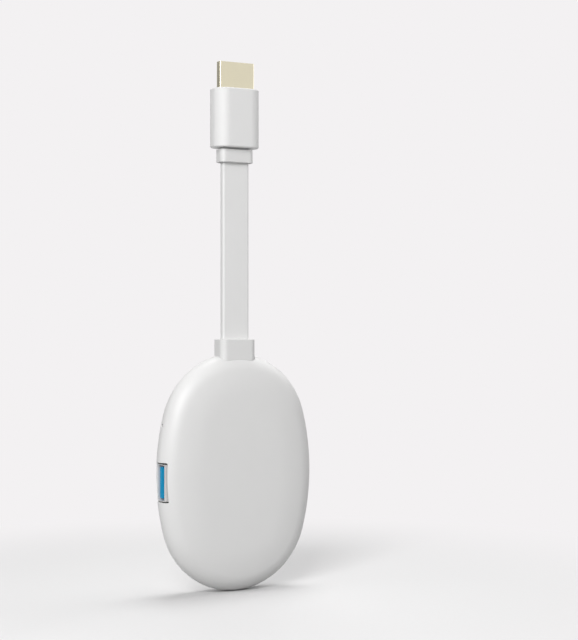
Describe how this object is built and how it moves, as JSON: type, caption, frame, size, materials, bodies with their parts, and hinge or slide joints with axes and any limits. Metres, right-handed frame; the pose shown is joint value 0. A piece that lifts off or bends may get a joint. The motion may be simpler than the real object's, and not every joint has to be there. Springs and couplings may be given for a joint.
{
  "type": "streaming dongle",
  "caption": "Flat oval streaming dongle on a short flat cable that ends in a video plug, with a data port in its side, a power port below and a reset pinhole.",
  "frame": {"origin": "middle of the video plug's shoulder, the face that stops against the screen's socket", "axes": "+Z along the cable towards the plug's tip, -Y the way the puck's front faces, +X to the right of the front"},
  "size_m": [0.0613, 0.0138, 0.1919],
  "materials": {
    "white_plastic": "smooth white, semi-gloss",
    "white_rubber": "smooth white, satin",
    "cable_jacket": "smooth white, satin",
    "inner_mould": "matt off-white",
    "black_plastic": "matt black",
    "blue_plastic": "matt blue",
    "plated_steel": "bright plated sheet",
    "gold_contact": "gold plated",
    "copper_wire": "bare copper",
    "circuit_board": "green solder mask",
    "ferrite": "matt dark grey",
    "ceramic": "matt tan",
    "thermal_pad": "soft grey pad",
    "aluminium_plate": "satin"
  },
  "bodies": {
    "plug": {"plug_shell": "plated_steel", "plug_insulator": "black_plastic", "plug_contacts": "gold_contact", "plug_wires": "copper_wire", "plug_rear_can": "plated_steel", "plug_inner_mould": "inner_mould", "plug_overmold": "white_plastic", "plug_boot": "white_rubber", "cable_tail_plug": "cable_jacket", "flat_cable": "cable_jacket"},
    "puck": {"cable_tail_puck": "cable_jacket", "cable_collar": "white_rubber", "cable_wires": "copper_wire", "cable_clamp": "plated_steel", "front_shell": "white_plastic", "rear_shell": "white_plastic", "main_board": "circuit_board", "board_screws": "plated_steel", "processor": "black_plastic", "memory_chips": "black_plastic", "power_chip": "black_plastic", "board_crystal": "plated_steel", "storage_chip": "black_plastic", "radio_module": "plated_steel", "power_inductors": "ferrite", "board_capacitors": "ceramic", "shield_frame": "plated_steel", "shield_lid": "plated_steel", "processor_pad": "thermal_pad", "spreader_pad": "thermal_pad", "heat_spreader": "aluminium_plate", "antennas": "gold_contact", "data_port_shell": "plated_steel", "data_port_contacts": "gold_contact", "data_port_tongue": "blue_plastic", "power_port_shell": "plated_steel", "power_port_contacts": "gold_contact", "power_port_tongue": "black_plastic", "reset_switch_body": "black_plastic"},
    "plunger": {"reset_plunger": "ceramic"}
  },
  "joints": [
    {"name": "cable_bend", "type": "hinge", "parent": "plug", "child": "puck", "pos_m": [0, 0, -0.05885], "axis": [1, 0, 0], "range_deg": [-90, 90], "stiffness_Nm_per_rad": 0.01, "deforming": ["flat_cable"]},
    {"name": "reset_press", "type": "slide", "parent": "puck", "child": "plunger", "axis": [1, 0, 0], "range_m": [0, 0.00025], "stiffness_N_per_m": 3000}
  ]
}
